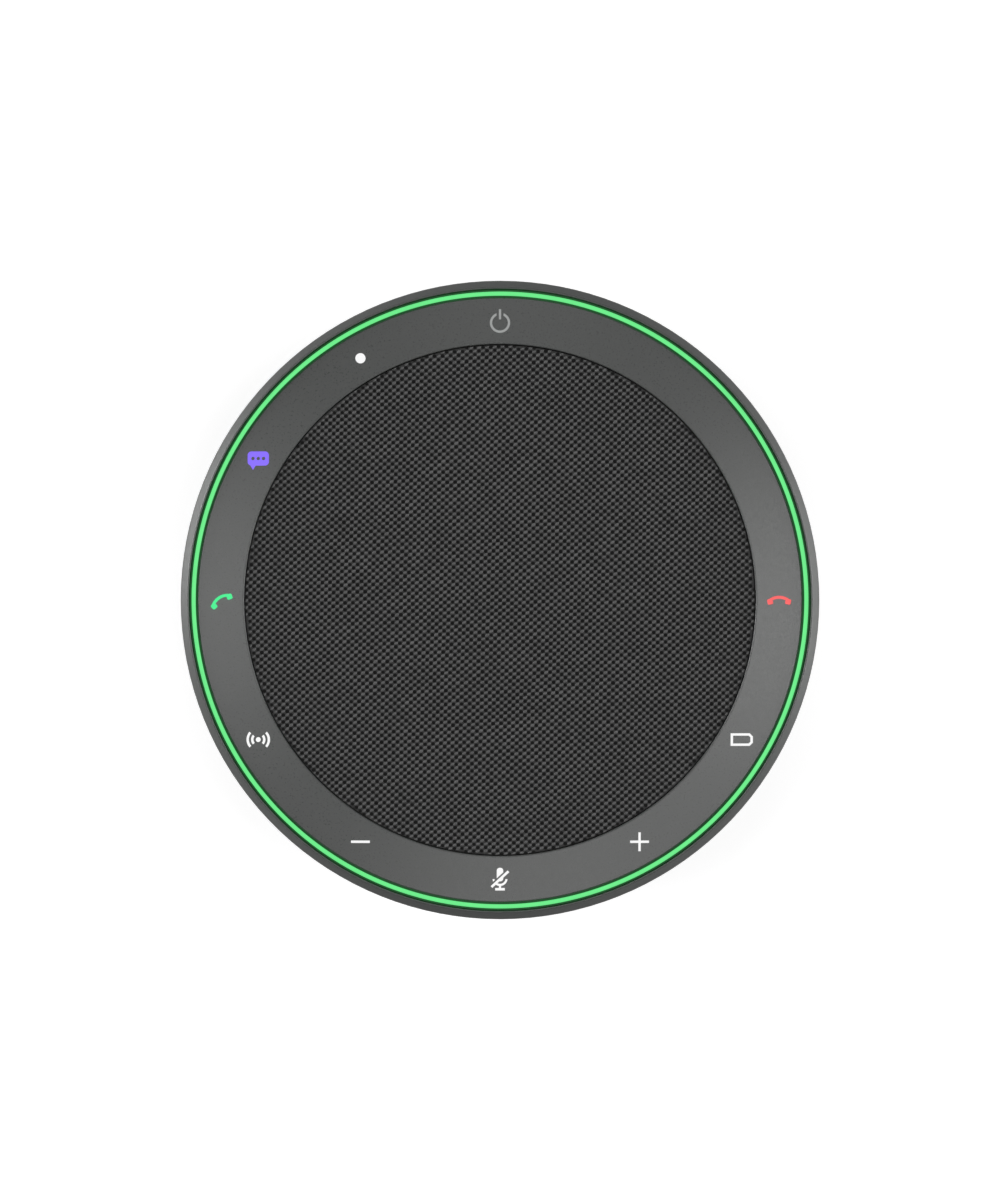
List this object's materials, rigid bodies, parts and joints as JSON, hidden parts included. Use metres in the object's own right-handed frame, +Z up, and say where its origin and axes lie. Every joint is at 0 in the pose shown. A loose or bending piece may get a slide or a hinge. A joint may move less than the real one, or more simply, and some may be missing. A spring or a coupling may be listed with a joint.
{
  "type": "conference speakerphone",
  "caption": "Round table-top conference speakerphone: cloth-covered loudspeaker, ring of touch symbols, lit edge ring, bowl-shaped base with rubber foot and rear socket.",
  "frame": {"origin": "on the table, under the middle of the casing", "axes": "+Z up out of the top face, +Y to the back with the power symbol and the socket, +X to the right when seen from above"},
  "size_m": [0.1324, 0.1324, 0.0364],
  "materials": {
    "casing_grey": "fine-grained matte dark grey plastic",
    "base_black": "fine-grained matte charcoal plastic",
    "foot_rubber": "soft matte black rubber",
    "ring_grey": "fine-grained matte dark grey plastic",
    "light_green": "translucent light guide, lit green",
    "grille_cloth": "woven charcoal grille cloth",
    "plate_black": "matte black perforated plate",
    "symbol_grey": "satin grey inlay",
    "symbol_white": "translucent inlay, lit white",
    "symbol_violet": "translucent inlay, lit violet",
    "symbol_green": "translucent inlay, lit green",
    "symbol_red": "translucent inlay, lit red",
    "board_green": "green solder-masked circuit board",
    "lamp": "small moulded lamp body",
    "mic_metal": "plated metal can",
    "soft_black": "soft matte black rubber or foam",
    "frame_grey": "moulded grey plastic",
    "basket_black": "black painted pressed steel",
    "steel": "turned zinc-plated steel",
    "magnet_nickel": "nickel-plated magnet",
    "copper": "enamelled copper winding",
    "former": "thin foil former",
    "spider_cloth": "resin-stiffened corrugated cloth",
    "cone_black": "matte black pressed cone",
    "terminal_brown": "brown laminate strip",
    "lead_red": "insulated twin lead",
    "chip_black": "moulded black package",
    "shield": "tinned steel shield",
    "connector_cream": "moulded cream connector",
    "ribbon_amber": "amber flexible ribbon",
    "battery_foil": "silver foil pouch",
    "steel_bright": "bright plated steel shell",
    "screw_steel": "plated steel screw"
  },
  "bodies": {
    "casing": {"top_housing": "casing_grey", "bottom_housing": "base_black", "rubber_foot": "foot_rubber", "touch_ring": "ring_grey", "light_ring": "light_green", "grille_cloth": "grille_cloth", "grille_plate": "plate_black", "power_symbol": "symbol_grey", "status_dot": "symbol_white", "meeting_symbol": "symbol_violet", "answer_symbol": "symbol_green", "wireless_symbol": "symbol_white", "volume_down_symbol": "symbol_white", "mute_symbol": "symbol_white", "volume_up_symbol": "symbol_white", "battery_symbol": "symbol_white", "end_call_symbol": "symbol_red", "touch_board": "board_green", "ring_lamps": "lamp", "symbol_lamps": "lamp", "microphones": "mic_metal", "microphone_boots": "soft_black", "inner_frame": "frame_grey", "speaker_chamber": "frame_grey", "chamber_seal": "soft_black", "speaker_basket": "basket_black", "speaker_gasket": "soft_black", "magnet_cup": "steel", "magnet": "magnet_nickel", "pole_plate": "steel", "spider": "spider_cloth", "surround": "soft_black", "speaker_terminals": "terminal_brown", "speaker_lead": "lead_red", "lead_grommet": "soft_black", "main_board": "board_green", "board_chips": "chip_black", "shield_can": "shield", "board_connectors": "connector_cream", "board_ribbon": "ribbon_amber", "battery_pack": "battery_foil", "battery_pad": "soft_black", "battery_lead": "lead_red", "usb_socket": "steel_bright", "usb_tongue": "chip_black", "casing_screws": "screw_steel", "frame_screws": "screw_steel", "chamber_screws": "screw_steel", "speaker_screws": "screw_steel", "board_screws": "screw_steel"},
    "cone_assembly": {"cone": "cone_black", "dust_cap": "cone_black", "coil_former": "former", "voice_coil": "copper"}
  },
  "joints": [
    {"name": "cone_travel", "type": "slide", "parent": "casing", "child": "cone_assembly", "axis": [0, 0, 1], "range_m": [-0.0018, 0.0018], "stiffness_N_per_m": 800, "deforming": ["surround", "spider"]}
  ]
}
